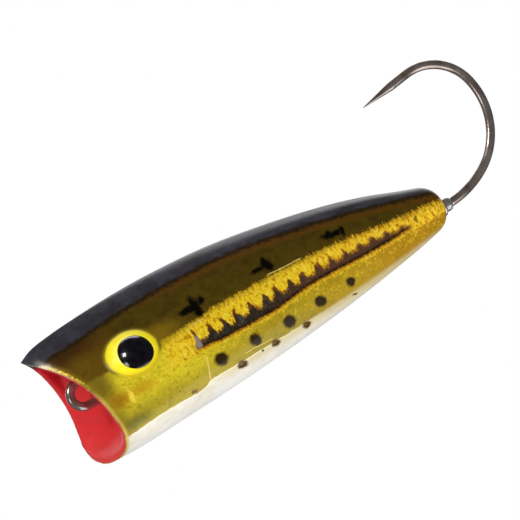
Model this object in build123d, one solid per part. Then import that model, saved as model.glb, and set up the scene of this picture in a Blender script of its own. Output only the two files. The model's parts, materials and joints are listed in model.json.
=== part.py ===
from build123d import *
import math
import os

# Topwater popper with one through-body hook, in millimetres.
# Frame: the origin is the centre of the line-tie ring, +X runs to the tail, +Z to the back, and
# -Y is the lure's left flank. The left half is modelled, and the right half mirrors it in y = 0.

# ---------------------------------------------------------------- body outline
# Each row is x, top, bottom, half breadth, and the height at which the body is broadest.
HULL = [
    (-6.0, 7.0, -9.6, 9.3, -6.0),
    (-3.4, 8.15, -9.65, 9.35, -6.0),
    (-0.5, 8.65, -9.65, 9.4, -6.0),
    (4.0, 9.05, -9.65, 9.4, -5.5),
    (10.0, 9.35, -9.3, 9.3, -4.8),
    (16.0, 9.35, -8.95, 9.0, -4.2),
    (24.0, 8.9, -8.35, 8.25, -3.4),
    (32.0, 7.8, -7.55, 7.1, -2.8),
    (40.0, 6.25, -6.55, 5.75, -2.1),
    (46.0, 4.65, -5.6, 4.65, -1.6),
    (51.0, 2.9, -4.7, 3.65, -1.1),
    (55.3, 1.5, -3.7, 2.8, -1.1),
]
NOSE_X = -5.75  # where the upper lip's two sides would meet
NOSE_POWERS = (2.2, 1.4)  # plan shape of the upper lip
FACE_X = -0.5  # plane of the lower lip
TAIL_X = 55.3
TAIL_ROUND = 2.4  # length over which the tail end closes
TAIL_POWER = 2.6
ROUND_LENGTH = 40.0  # the section goes from a rounded triangle to an oval over this length
SECTION_STATIONS = [-0.2, 0.9, 2.3, 4, 6.4, 9.2, 12.5, 16, 20, 24, 28, 32, 36, 39.5, 42.5, 45]
SECTION_STATIONS += [47, 48.8, 50.2, 51.2]
BACK_ANGLES = [0, 4, 13, 24, 35, 46, 57, 68, 79]  # section points, from the middle of the back
BELLY_ANGLES = [0, 14, 28, 42, 56, 70, 82, 90]  # and on to the middle of the belly
TAIL_STATIONS = [0, 0.45, 0.7, 0.86, 0.95, 0.99]  # fractions of TAIL_ROUND

# ---------------------------------------------------------------- walls
SKIN = 0.15  # printed film with its clear coat
WALL = 1.3
LIP = 0.6  # shell wall round the mouth
CUP_WALL = 0.55
SCOOP_RADIUS = 15.0  # the upper lip's overhang, tangent to the lower lip's plane
SCOOP_Z = -3.6  # where the overhang starts
CUP_DEPTH = 3.6  # from the lower lip's plane to the bottom of the cup
CUP_FLOOR = 1.0
CUP_POWERS = (1.2, 1.9)  # how the cup narrows with depth

# ---------------------------------------------------------------- hook
WIRE = 1.2
RING_RADIUS = 1.65  # ring centre to wire centre
SHANK_Z = -RING_RADIUS
SHANK_END = 56.65
RING_CLOSE = 38.0  # the last stretch of the ring, which closes onto the shank
BEND = [(3.0, 5.0), (13.2, 25.2), (9.8, 74.4), (6.4, 84.0)]  # radius and turn of each arc
POINT_LEG = 2.7
POINT_TAPER = 4.8
POINT_RADIUS = 0.05

# ---------------------------------------------------------------- tail fittings and shank tube
TUBE_OUTER = 2.2
TUBE_INNER = 1.3
WASHER_DIAMETER = 2.5
WASHER_THICK = 0.35
COLLAR_DIAMETER = 1.9
COLLAR_LENGTH = 1.35
COLLAR_ROUND = 0.3
TAIL_POCKET_X = TAIL_X - 0.35  # flat seat of the washer

# ---------------------------------------------------------------- eyes
EYE_X = 6.5
EYE_Z = 1.55
EYE_HEIGHT = 1.25
EYE_RADIUS = 3.6  # where the dome meets the flank
EYE_SEAT = 0.6  # depth of the dome's socket
PUPIL_RADIUS = 2.4
PUPIL_HEIGHT = 0.5
PUPIL_BACK = 0.35  # pupil centre from the dome's centre, towards the tail
PUPIL_DOWN = 0.6

# ---------------------------------------------------------------- inside the shells
COMPARTMENTS = [(7.6, 19.2), (20.4, 32.4), (33.6, 41.4), (42.6, 49.6)]
POST_DIAMETER = 2.8
PIN_DIAMETER = 1.3
PIN_LENGTH = 1.3
PIN_CLEARANCE = 0.05
POSTS = [(9.6, 5.6), (19.8, 5.8), (33.0, 4.6), (42.0, 2.4)]
CHAMBER_WALL = 0.8
KNOCKER = {"diameter": 4.6, "start": 8.2, "end": 18.6, "z": -5.05}
RATTLE = {"diameter": 3.0, "start": 20.6, "end": 32.2, "z": -4.3}
RATTLE_COUNT = 3
BALL_PLAY = 0.15  # radial gap between a ball and its chamber
BALL_GAP = 0.1  # between neighbouring balls, and from a ball to the chamber's end
WEIGHT = {"start": 34.4, "end": 41.0, "width": 6.0, "low": -5.3, "high": -2.8, "round": 0.9}
REACH = 40.0  # half size of the cutting blocks


# ---------------------------------------------------------------- body shape
def hull_row(x):
    """Top, bottom, half breadth and broadest height at x, smooth between the rows of HULL."""
    rows = HULL
    i = max(0, min(len(rows) - 2, sum(1 for row in rows if row[0] <= x) - 1))
    x0, x1 = rows[i][0], rows[i + 1][0]
    t = (x - x0) / (x1 - x0)
    values = []
    for k in range(1, 5):

        def slope(j):
            a = rows[max(0, j - 1)]
            b = rows[min(len(rows) - 1, j + 1)]
            return (b[k] - a[k]) / (b[0] - a[0])

        low, high = rows[i][k], rows[i + 1][k]
        s0, s1 = slope(i) * (x1 - x0), slope(i + 1) * (x1 - x0)
        values.append(
            low * (1 + 2 * t) * (1 - t) ** 2
            + s0 * t * (1 - t) ** 2
            + high * t * t * (3 - 2 * t)
            + s1 * t * t * (t - 1)
        )
    return values


def section_points(x, inset=0.0, shrink=1.0, centre_z=SHANK_Z):
    """Points of the left half section at x, from the back round the flank to the belly."""
    top, bottom, breadth, broad_z = hull_row(x)
    top, bottom, breadth = top - inset, bottom + inset, breadth - inset
    if x < FACE_X:
        nose = NOSE_X + 1.2 * inset
        u = (FACE_X - x) / (FACE_X - nose)
        breadth *= (1 - u ** NOSE_POWERS[0]) ** NOSE_POWERS[1]
    closing = (x - (TAIL_X - inset - TAIL_ROUND)) / TAIL_ROUND
    if closing > 0:
        shrink *= (1 - min(closing, 0.999) ** TAIL_POWER) ** (1 / TAIL_POWER)
        centre_z = (top + bottom) / 2
    oval = max(0.0, min(1.0, (x - FACE_X) / ROUND_LENGTH)) ** 0.8
    a = 1.07 + 0.93 * oval
    b = 0.85 - 0.35 * oval
    n = 2.35 - 0.35 * oval
    points = []
    for angle in BACK_ANGLES:
        angle = math.radians(angle)
        w = breadth * math.sin(angle) ** (2 * b)
        z = broad_z + (top - broad_z) * math.cos(angle) ** (2 / a)
        points.append((w, z))
    for angle in BELLY_ANGLES:
        angle = math.radians(angle)
        w = breadth * max(0.0, math.cos(angle)) ** (2 / n)
        z = broad_z - (broad_z - bottom) * math.sin(angle) ** (2 / n)
        points.append((w, z))
    return [Vector(x, -w * shrink, centre_z + (z - centre_z) * shrink) for w, z in points]


def half_section(x, inset=0.0, shrink=1.0):
    """Face of the left half section at x."""
    points = section_points(x, inset, shrink)
    return Face(Wire([Spline(*points), Line(points[-1], points[0])]))


def nose_stations(inset):
    """Places of the sections from the upper lip's tip to the lower lip's plane."""
    nose = NOSE_X + 1.2 * inset
    return [FACE_X + (nose - FACE_X) * u for u in (0.93, 0.8, 0.62, 0.4, 0.15)]


def half_hull(inset):
    """Left half of the whole body, its surface set in by inset."""
    closing_x = TAIL_X - inset - TAIL_ROUND
    stations = nose_stations(inset) + [x for x in SECTION_STATIONS if x < closing_x - 1]
    stations += [closing_x + TAIL_ROUND * f for f in TAIL_STATIONS]
    return loft([half_section(x, inset) for x in stations])


def half_dish(inset, depth):
    """Left half of the space in front of a dish whose bottom is depth behind the lower lip."""
    sections = [half_section(x, inset) for x in nose_stations(inset)]
    for f in (0.12, 0.35, 0.58, 0.78, 0.9, 0.97, 0.995):
        shrink = (1 - f ** CUP_POWERS[0]) ** (1 / CUP_POWERS[1])
        sections.append(half_section(FACE_X + depth * f, inset, shrink))
    return loft(sections)


def scoop():
    """Everything in front of the mouth's face, to cut away."""
    tip_x = FACE_X - 6.0
    rise = math.sqrt(SCOOP_RADIUS**2 - (SCOOP_RADIUS - 6.0) ** 2)
    turn = math.asin(rise / SCOOP_RADIUS) / 2
    middle = (
        FACE_X - SCOOP_RADIUS * (1 - math.cos(turn)),
        SCOOP_Z + SCOOP_RADIUS * math.sin(turn),
    )
    start = (FACE_X, SCOOP_Z)
    end = (tip_x, SCOOP_Z + rise)
    outline = [
        Line((FACE_X, -REACH), start),
        ThreePointArc(start, middle, end),
        Line(end, (-REACH, SCOOP_Z + rise)),
        Line((-REACH, SCOOP_Z + rise), (-REACH, -REACH)),
        Line((-REACH, -REACH), (FACE_X, -REACH)),
    ]
    face = Plane.XZ * Face(Wire(outline))
    return extrude(face, REACH, both=True)


def box(low, high):
    """Box between two corners."""
    size = [h - l for l, h in zip(low, high)]
    middle = [(h + l) / 2 for l, h in zip(low, high)]
    return Pos(*middle) * Box(*size)


def rod_x(x0, x1, z, diameter):
    """Cylinder along X between two places, in the middle plane."""
    return Pos((x0 + x1) / 2, 0, z) * Rot(0, 90, 0) * Cylinder(diameter / 2, abs(x1 - x0))


def rod_y(x, z, y0, y1, diameter):
    """Cylinder along Y between two places."""
    return Pos(x, (y0 + y1) / 2, z) * Rot(90, 0, 0) * Cylinder(diameter / 2, abs(y1 - y0))


def mirrored(shape):
    """The right-hand copy of a left-hand piece."""
    return mirror(shape, about=Plane.XZ)


# ---------------------------------------------------------------- eyes
def flank_plane(x, z):
    """Plane on the left flank at (x, z): its x direction runs aft, and its normal points out."""

    def breadth(px, pz):
        points = section_points(px)
        for p, q in zip(points, points[1:]):
            if q.Z <= pz <= p.Z and p.Z > q.Z:
                return -(p.Y + (q.Y - p.Y) * (p.Z - pz) / (p.Z - q.Z))
        raise ValueError("no flank at this height")

    step = 0.8
    along = Vector(2 * step, breadth(x - step, z) - breadth(x + step, z), 0)
    down = Vector(0, breadth(x, z + step) - breadth(x, z - step), -2 * step)
    normal = down.cross(along).normalized()
    if normal.Y > 0:
        normal = normal * -1
    origin = Vector(x, -breadth(x, z), z)
    return Plane(origin=origin, x_dir=along.normalized(), z_dir=normal)


DOME_RADIUS = (EYE_RADIUS**2 + EYE_HEIGHT**2) / (2 * EYE_HEIGHT)
DOME_CENTRE = EYE_HEIGHT - DOME_RADIUS


def eye_dome(plane):
    """Yellow dome with its socket, before the pupil is let in."""
    ball = Pos(0, 0, DOME_CENTRE) * Sphere(DOME_RADIUS)
    cap = ball & Pos(0, 0, -EYE_SEAT + REACH / 2) * Box(REACH, REACH, REACH)
    return plane * cap


def pupil_dome(plane):
    """Black dome that sits on the yellow one, a little aft of its top and below it."""
    base = DOME_CENTRE + math.sqrt(DOME_RADIUS**2 - PUPIL_RADIUS**2)
    rise = DOME_CENTRE + DOME_RADIUS + PUPIL_HEIGHT - base
    radius = (PUPIL_RADIUS**2 + rise**2) / (2 * rise)
    ball = Pos(0, 0, base + rise - radius) * Sphere(radius)
    under = Pos(0, 0, DOME_CENTRE) * Sphere(DOME_RADIUS)
    lens = ball - under
    tilt_aft = math.degrees(PUPIL_BACK / DOME_RADIUS)
    tilt_down = math.degrees(PUPIL_DOWN / DOME_RADIUS)
    turned = Pos(0, 0, DOME_CENTRE) * Rot(tilt_down, tilt_aft, 0) * Pos(0, 0, -DOME_CENTRE) * lens
    return plane * turned


# ---------------------------------------------------------------- hook
def hook_wire():
    """One wire: ring, shank, bend and point."""
    ring_start = (0, SHANK_Z)
    ring_end = (RING_RADIUS, 0)
    outline = [
        ThreePointArc(ring_end, _on_ring(135), ring_start),
        Line(ring_start, (SHANK_END, SHANK_Z)),
    ]
    x, z, heading = SHANK_END, SHANK_Z, 0.0
    for radius, turn in BEND:
        outline.append(JernArc((x, z), _direction(heading), radius, turn))
        x += radius * (_sin(heading + turn) - _sin(heading))
        z += radius * (_cos(heading) - _cos(heading + turn))
        heading += turn
    tip = (x + POINT_LEG * _cos(heading), z + POINT_LEG * _sin(heading))
    outline.append(Line((x, z), tip))
    path = Plane.XZ * Wire(outline)
    start = Plane(origin=path @ 0, z_dir=path % 0)
    wire = sweep(start * Circle(WIRE / 2), path)
    close_path = Plane.XZ * Wire(
        [ThreePointArc(_on_ring(-RING_CLOSE), _on_ring(-RING_CLOSE / 2), ring_end)]
    )
    close_start = Plane(origin=close_path @ 0, z_dir=close_path % 0)
    close = sweep(close_start * Circle(WIRE / 2), close_path)
    point = Plane(origin=(tip[0], 0, tip[1]), z_dir=(_cos(heading), 0, _sin(heading)))
    taper = Pos(0, 0, POINT_TAPER / 2) * Cone(WIRE / 2, POINT_RADIUS, POINT_TAPER)
    return wire + close + point * taper


def _sin(degrees):
    return math.sin(math.radians(degrees))


def _cos(degrees):
    return math.cos(math.radians(degrees))


def _direction(degrees):
    return (_cos(degrees), _sin(degrees))


def _on_ring(degrees):
    return (RING_RADIUS * _cos(degrees), RING_RADIUS * _sin(degrees))


# ---------------------------------------------------------------- tail fittings, tube, weight
def shank_tube():
    """Tube from the bottom of the cup to the tail, which seals the body round the shank."""
    start = FACE_X + CUP_DEPTH * 0.9
    outer = rod_x(start, TAIL_POCKET_X, SHANK_Z, TUBE_OUTER)
    return outer - rod_x(start - 1, TAIL_POCKET_X + 1, SHANK_Z, TUBE_INNER)


def tail_washer():
    """Washer between the body's tail and the collar."""
    end = TAIL_POCKET_X + WASHER_THICK
    disc = rod_x(TAIL_POCKET_X, end, SHANK_Z, WASHER_DIAMETER)
    return disc - rod_x(TAIL_POCKET_X - 1, end + 1, SHANK_Z, TUBE_INNER)


def crimp_collar():
    """Rounded collar, crimped on the shank behind the washer."""
    start = TAIL_POCKET_X + WASHER_THICK
    collar = rod_x(start, start + COLLAR_LENGTH, SHANK_Z, COLLAR_DIAMETER)
    collar = fillet(collar.edges().filter_by(GeomType.CIRCLE), COLLAR_ROUND)
    return collar - rod_x(start - 1, start + COLLAR_LENGTH + 1, SHANK_Z, WIRE)


def tail_weight():
    """Rounded ballast bar under the shank tube."""
    low = (WEIGHT["start"], -WEIGHT["width"] / 2, WEIGHT["low"])
    high = (WEIGHT["end"], WEIGHT["width"] / 2, WEIGHT["high"])
    bar = box(low, high)
    return fillet(bar.edges(), WEIGHT["round"])


# ---------------------------------------------------------------- chambers and balls
def chamber(ball, grow):
    """Bore of a ball's chamber, grown on every side."""
    diameter = ball["diameter"] + 2 * (BALL_PLAY + grow)
    return rod_x(ball["start"] - grow, ball["end"] + grow, ball["z"], diameter)


def ball_at(ball, x):
    """A ball resting on the floor of its chamber."""
    return Pos(x, 0, ball["z"] - BALL_PLAY + 0.02) * Sphere(ball["diameter"] / 2)


def rattle_place(index):
    """Centre of a rattle ball, at the front end of the row."""
    pitch = RATTLE["diameter"] + BALL_GAP
    return RATTLE["start"] + BALL_GAP + RATTLE["diameter"] / 2 + index * pitch


# ---------------------------------------------------------------- shells
def left_half(outer, inner, cup_space, eye):
    """Left shell before the pins or sockets: walls, bulkheads, posts and chambers."""
    shell = outer - cup_space
    for start, end in COMPARTMENTS:
        room = inner & box((start, -REACH, -REACH), (end, REACH, REACH))
        for x, z in POSTS:
            room -= rod_y(x, z, -REACH, 1, POST_DIAMETER)
        for ball in (KNOCKER, RATTLE):
            room -= chamber(ball, CHAMBER_WALL)
        room -= weight_cradle()
        shell -= room
    for ball in (KNOCKER, RATTLE):
        shell -= chamber(ball, 0)
    shell -= tail_weight()
    shell -= rod_x(FACE_X, TAIL_X + 1, SHANK_Z, TUBE_OUTER)
    shell -= rod_x(TAIL_POCKET_X, TAIL_X + 1, SHANK_Z, WASHER_DIAMETER)
    return shell - eye


def weight_cradle():
    """Saddle that holds the ballast."""
    low = (WEIGHT["start"] - 0.8, -WEIGHT["width"] / 2 - 0.8, -REACH)
    high = (WEIGHT["end"] + 0.8, WEIGHT["width"] / 2 + 0.8, WEIGHT["low"] + 1.2)
    return box(low, high)


def build():
    """Every piece of the popper, by name."""
    cut = scoop()
    outer = half_hull(0)
    under_skin = half_hull(SKIN)
    inner = half_hull(SKIN + WALL)
    cup_space = half_dish(SKIN + LIP, CUP_DEPTH + CUP_FLOOR)
    cup_inside = half_dish(SKIN + LIP + CUP_WALL, CUP_DEPTH)
    plane = flank_plane(EYE_X, EYE_Z)
    eye = eye_dome(plane)
    pupil = pupil_dome(plane)
    bore = rod_x(-REACH, TAIL_X, SHANK_Z, TUBE_OUTER)
    washer_room = rod_x(TAIL_POCKET_X, TAIL_X + 1, SHANK_Z, WASHER_DIAMETER)

    skin = outer - under_skin - cut - eye - washer_room
    shell = left_half(under_skin - cut, inner, cup_space, eye)
    half_cup = cup_space - cup_inside - cut - bore

    left_shell = shell
    right_shell = mirrored(shell)
    for x, z in POSTS:
        left_shell += rod_y(x, z, -1, PIN_LENGTH, PIN_DIAMETER)
        right_shell -= rod_y(x, z, -1, PIN_LENGTH + PIN_CLEARANCE, PIN_DIAMETER + 2 * PIN_CLEARANCE)

    pieces = {
        "left_shell": left_shell,
        "right_shell": right_shell,
        "left_skin": skin,
        "right_skin": mirrored(skin),
        "mouth_cup": half_cup + mirrored(half_cup),
        "left_eye": eye,
        "right_eye": mirrored(eye),
        "left_pupil": pupil,
        "right_pupil": mirrored(pupil),
        "hook": hook_wire(),
        "shank_tube": shank_tube(),
        "tail_washer": tail_washer(),
        "crimp_collar": crimp_collar(),
        "tail_weight": tail_weight(),
        "knocker_ball": ball_at(KNOCKER, KNOCKER["start"] + BALL_GAP + KNOCKER["diameter"] / 2),
    }
    for index in range(RATTLE_COUNT):
        pieces[f"rattle_ball_{index + 1}"] = ball_at(RATTLE, rattle_place(index))
    return pieces


os.makedirs("parts", exist_ok=True)
for name, piece in build().items():
    export_step(piece, f"parts/{name}.step")
    print(name, round(piece.volume, 2))
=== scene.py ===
"""Looks of a topwater popper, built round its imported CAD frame.

Row frame: the origin is the centre of the line-tie ring, +X runs to the tail, +Z to the back and
-Y is the lure's left flank. Shapes are worked out in millimetres and scaled to metres once, in
add_mesh. Markings are placed on the flank as they are seen from PAINT_YAW ahead of square on.
"""

import json
import math

import bpy
import numpy as np
from mathutils import Matrix, Vector

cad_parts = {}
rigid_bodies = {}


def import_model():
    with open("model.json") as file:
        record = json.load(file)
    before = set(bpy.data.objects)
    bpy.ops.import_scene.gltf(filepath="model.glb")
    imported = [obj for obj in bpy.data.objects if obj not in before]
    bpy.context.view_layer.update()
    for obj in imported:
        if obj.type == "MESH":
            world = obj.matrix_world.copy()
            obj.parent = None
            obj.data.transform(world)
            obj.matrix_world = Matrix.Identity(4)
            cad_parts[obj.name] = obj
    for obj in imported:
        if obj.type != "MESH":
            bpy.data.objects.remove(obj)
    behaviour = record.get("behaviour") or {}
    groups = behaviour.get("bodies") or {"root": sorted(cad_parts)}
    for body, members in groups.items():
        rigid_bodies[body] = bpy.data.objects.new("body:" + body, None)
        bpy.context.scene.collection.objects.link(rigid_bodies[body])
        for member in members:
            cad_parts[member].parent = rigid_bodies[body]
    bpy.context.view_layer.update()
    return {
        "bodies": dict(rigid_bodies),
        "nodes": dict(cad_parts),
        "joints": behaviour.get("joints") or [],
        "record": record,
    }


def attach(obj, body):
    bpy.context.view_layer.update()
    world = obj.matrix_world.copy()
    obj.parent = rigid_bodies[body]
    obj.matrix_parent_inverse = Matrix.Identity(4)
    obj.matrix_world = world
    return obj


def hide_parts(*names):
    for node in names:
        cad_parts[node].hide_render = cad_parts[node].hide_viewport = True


MM = 0.001

# ---------------------------------------------------------------- body shape, as in the CAD part
# Each row is x, top, bottom, half breadth, and the height at which the body is broadest.
HULL = np.array(
    [
        (-6.0, 7.0, -9.6, 9.3, -6.0),
        (-3.4, 8.15, -9.65, 9.35, -6.0),
        (-0.5, 8.65, -9.65, 9.4, -6.0),
        (4.0, 9.05, -9.65, 9.4, -5.5),
        (10.0, 9.35, -9.3, 9.3, -4.8),
        (16.0, 9.35, -8.95, 9.0, -4.2),
        (24.0, 8.9, -8.35, 8.25, -3.4),
        (32.0, 7.8, -7.55, 7.1, -2.8),
        (40.0, 6.25, -6.55, 5.75, -2.1),
        (46.0, 4.65, -5.6, 4.65, -1.6),
        (51.0, 2.9, -4.7, 3.65, -1.1),
        (55.3, 1.5, -3.7, 2.8, -1.1),
    ]
)
NOSE_X = -5.75
NOSE_POWERS = (2.2, 1.4)
FACE_X = -0.5
TAIL_X = 55.3
TAIL_ROUND = 2.4
TAIL_POWER = 2.6
ROUND_LENGTH = 40.0
BACK_ANGLES = (0, 4, 13, 24, 35, 46, 57, 68, 79)  # section points, from the middle of the back
BELLY_ANGLES = (0, 14, 28, 42, 56, 70, 82, 90)  # and on to the middle of the belly
SCOOP_RADIUS = 15.0
SCOOP_Z = -3.6
CUP_DEPTH = 3.6
CUP_POWERS = (1.2, 1.9)  # how the cup narrows with depth
SHELL_INSET = 0.75  # from the body's surface to the shell's inner edge at the mouth
CUP_INSET = 1.3  # from the body's surface to the cup's inner wall
LIP_INSET = 0.08  # where the red paint starts, inside the film's edge
PAINT = 0.04  # the red paint's height over the lip
FILM = 0.14

# ---------------------------------------------------------------- hook and tail fittings
WIRE = 1.2
RING_RADIUS = 1.65
SHANK_Z = -RING_RADIUS
SHANK_END = 56.65
RING_CLOSE = 38.0
BEND = [(3.0, 5.0), (13.2, 25.2), (9.8, 74.4), (6.4, 84.0)]  # radius and turn of each arc
POINT_LEG = 2.7
POINT_TAPER = 4.8
POINT_RADIUS = 0.05
WASHER_X = TAIL_X - 0.35
WASHER_THICK = 0.35
COLLAR_LENGTH = 1.35

# ---------------------------------------------------------------- eyes
EYE_X = 6.5
EYE_Z = 1.55
EYE_HEIGHT = 1.25
EYE_RADIUS = 3.6
EYE_OVAL = 0.9  # the painted eye's height over its length
PUPIL_RADIUS = 2.4
PUPIL_HEIGHT = 0.5
PUPIL_BACK = 0.35
PUPIL_DOWN = 0.6
PUPIL_SET = 0.05  # how far the pupil's lens is let into the dome
EYE_SKIRT = 0.75  # how far the dome's soft foot runs past its radius
DOME_RADIUS = (EYE_RADIUS**2 + EYE_HEIGHT**2) / (2 * EYE_HEIGHT)

# ---------------------------------------------------------------- view
PAINT_YAW = math.radians(18.0)
VIEW_YAW = math.radians(18.0)  # the camera stands this far ahead of square on to the left flank
VIEW_ROLL = math.radians(29.2)
VIEW_CENTRE = (29.9, 0.0, 3.9)
VIEW_WIDTH = 67.4
VIEW_DISTANCE = 2000.0
SKY_STRENGTH = 0.75  # what the world adds to matt surfaces
ROOM_STRENGTH = 0.03  # what gloss sees between the softboxes
FLOOR_DROP = 200.0  # the floor's depth under the line-tie ring
FLOOR_RADIUS = 1500.0


# ---------------------------------------------------------------- shape of the body
def mirrored(points):
    """The right-hand copy of left-hand points."""
    return points * np.array([1.0, -1.0, 1.0])


def hull_row(x):
    """Top, bottom, half breadth and broadest height at x, smooth between the rows of HULL."""
    places = HULL[:, 0]
    order = np.arange(len(HULL))
    before = HULL[np.maximum(order - 1, 0)]
    after = HULL[np.minimum(order + 1, len(HULL) - 1)]
    slopes = (after - before) / (after[:, :1] - before[:, :1])
    i = np.clip(np.searchsorted(places, x, side="right") - 1, 0, len(HULL) - 2)
    span = places[i + 1] - places[i]
    t = (x - places[i]) / span
    values = []
    for k in range(1, 5):
        values.append(
            HULL[i, k] * (1 + 2 * t) * (1 - t) ** 2
            + slopes[i, k] * span * t * (1 - t) ** 2
            + HULL[i + 1, k] * t * t * (3 - 2 * t)
            + slopes[i + 1, k] * span * t * t * (t - 1)
        )
    return values


def section_powers(x):
    """Powers of the section's upper and lower curves, from a rounded triangle to an oval."""
    oval = np.clip((x - FACE_X) / ROUND_LENGTH, 0, 1) ** 0.8
    return 1.07 + 0.93 * oval, 0.85 - 0.35 * oval, 2.35 - 0.35 * oval


def formula_points(x, v, inset=0.0, shrink=1.0):
    """Section points on the left half; v is 0 on the back, 1 at its broadest, 2 on the belly."""
    x, v, inset, shrink = np.broadcast_arrays(x, v, inset, shrink)
    top, bottom, breadth, broad_z = hull_row(x)
    top, bottom, breadth = top - inset, bottom + inset, breadth - inset
    nose = NOSE_X + 1.2 * inset
    u = np.clip((FACE_X - x) / (FACE_X - nose), 0, 1)
    breadth = breadth * (1 - u ** NOSE_POWERS[0]) ** NOSE_POWERS[1]
    closing = np.clip((x - (TAIL_X - inset - TAIL_ROUND)) / TAIL_ROUND, 0, 0.999)
    centre_z = np.where(closing > 0, (top + bottom) / 2, SHANK_Z)
    shrink = shrink * (1 - closing**TAIL_POWER) ** (1 / TAIL_POWER)
    a, b, n = section_powers(x)
    upper = v <= 1
    angle = np.where(upper, v, v - 1) * math.pi / 2
    sine = np.sin(angle)
    cosine = np.clip(np.cos(angle), 0, 1)
    w = breadth * np.where(upper, sine ** (2 * b), cosine ** (2 / n))
    rise = np.where(upper, (top - broad_z) * cosine ** (2 / a), -(broad_z - bottom) * sine ** (2 / n))
    z = centre_z + (broad_z + rise - centre_z) * shrink
    return np.stack([x, -w * shrink, z], axis=-1)


def spline_weights(knots, at):
    """Weights of each knot's value in a natural cubic spline through them, at given places."""
    count = len(knots)
    gaps = np.diff(knots)
    bending, pull = np.eye(count), np.zeros((count, count))
    for i in range(1, count - 1):
        bending[i, i - 1 : i + 2] = gaps[i - 1], 2 * (gaps[i - 1] + gaps[i]), gaps[i]
        pull[i, i - 1 : i + 2] = 6 / gaps[i - 1], -6 / gaps[i - 1] - 6 / gaps[i], 6 / gaps[i]
    second = np.linalg.solve(bending, pull)
    i = np.clip(np.searchsorted(knots, at, side="right") - 1, 0, count - 2)
    gap = gaps[i][..., None]
    after = (np.asarray(at)[..., None] - knots[i][..., None]) / gap
    before = 1 - after
    unit = np.eye(count)
    curve = (before**3 - before) * second[i] + (after**3 - after) * second[i + 1]
    return before * unit[i] + after * unit[i + 1] + curve * gap**2 / 6


def section_knots():
    """The CAD section's points as v, and their places along it, mirrored past both ends."""
    v = np.array([a / 90 for a in BACK_ANGLES] + [1 + a / 90 for a in BELLY_ANGLES])
    steps = np.linalg.norm(np.diff(formula_points(10.0, v), axis=0), axis=1)
    return v, np.concatenate([[0], np.cumsum(steps)])


KNOT_V, KNOT_PLACES = section_knots()


def body_points(x, place, inset=0.0, shrink=1.0):
    """Points on the left half; place runs from 0 on the back to 1 on the belly."""
    x, place, inset, shrink = np.broadcast_arrays(x, place, inset, shrink)
    length = KNOT_PLACES[-1]
    ahead, behind = slice(2, 0, -1), slice(-2, -4, -1)
    knots = np.concatenate([-KNOT_PLACES[ahead], KNOT_PLACES, 2 * length - KNOT_PLACES[behind]])
    points = formula_points(x[..., None], KNOT_V, inset[..., None], shrink[..., None])
    around = [mirrored(points[..., ahead, :]), points, mirrored(points[..., behind, :])]
    weights = spline_weights(knots, place * length)
    return np.einsum("...k,...kc->...c", weights, np.concatenate(around, axis=-2))


def half_breadth(x, z):
    """Half breadth of the body above its broadest height."""
    top, _, breadth, broad_z = hull_row(x)
    a, b, _ = section_powers(x)
    cosine = np.clip((z - broad_z) / (top - broad_z), 0, 1) ** (a / 2)
    return breadth * np.sqrt(1 - cosine**2) ** (2 * b)


def scoop_x(z):
    """The mouth's face in side view: a plane below SCOOP_Z, and an overhanging arc above."""
    rise = np.clip(z - SCOOP_Z, 0, SCOOP_RADIUS * 0.95)
    return FACE_X - SCOOP_RADIUS + np.sqrt(SCOOP_RADIUS**2 - rise**2)


def rim_x(place, inset=0.0):
    """Where the surface set in by inset meets the mouth's face, by bisection."""
    low = np.full(np.shape(place), NOSE_X + 1.2 * inset + 0.02)
    high = np.full(np.shape(place), FACE_X)
    for _ in range(30):
        middle = (low + high) / 2
        ahead = middle < scoop_x(body_points(middle, place, inset)[..., 2])
        low = np.where(ahead, middle, low)
        high = np.where(ahead, high, middle)
    return high


# ---------------------------------------------------------------- meshes
def add_mesh(name, points, faces, finish, normals=None):
    """A smooth mesh from points in mm, with its material."""
    mesh = bpy.data.meshes.new(name)
    mesh.from_pydata(np.reshape(points, (-1, 3)) * MM, [], [list(map(int, f)) for f in faces])
    mesh.materials.append(finish.material)
    mesh.shade_smooth()
    if normals is not None:
        mesh.normals_split_custom_set_from_vertices(np.reshape(normals, (-1, 3)))
    piece = bpy.data.objects.new(name, mesh)
    bpy.context.scene.collection.objects.link(piece)
    return piece


def grid_faces(rows, columns, first=0, wrap=False):
    """Quads between neighbouring rows of points; wrap joins the last column to the first."""
    across = columns if wrap else columns - 1
    i, j = np.meshgrid(np.arange(rows - 1), np.arange(across), indexing="ij")
    here = first + i * columns + j
    beside = first + i * columns + (j + 1) % columns
    return np.stack([here, beside, beside + columns, here + columns], axis=-1).reshape(-1, 4)


def ring_cap(first, count):
    """One face over a closed row of points."""
    return [list(range(first, first + count))]


def roughness_of(length, pitch, seed):
    """Uneven values from -1 to 1 along a line, with a new value about every pitch."""
    knots = max(4, int(length[-1] / pitch))
    values = np.random.default_rng(seed).uniform(-1, 1, knots + 1)
    return np.interp(length, np.linspace(0, length[-1], knots + 1), values)


def film_grid(place):
    """Outside of the left film: rows run from the mouth's rim to the tail."""
    body = np.linspace(FACE_X, TAIL_X - TAIL_ROUND, 330)[:-1]
    closing = np.sin(np.linspace(0, 0.83, 26) * math.pi / 2)
    common = np.concatenate([body, TAIL_X - TAIL_ROUND * (1 - closing)])[:, None]
    fade = np.clip(1 - (common - FACE_X) / 12.0, 0, 1) ** 2
    x = common + (rim_x(place) - FACE_X)[None, :] * fade
    return body_points(x, place[None, :])


def film_normals(points):
    """Outward normals, level across the seam on the back and the belly."""
    before = mirrored(points[:, 1:2])
    after = mirrored(points[:, -2:-1])
    wide = np.concatenate([before, points, after], axis=1)
    around = wide[:, 2:] - wide[:, :-2]
    along = np.gradient(points, axis=0)
    normals = np.cross(around, along)
    normals /= np.linalg.norm(normals, axis=-1, keepdims=True)
    return normals


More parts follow.
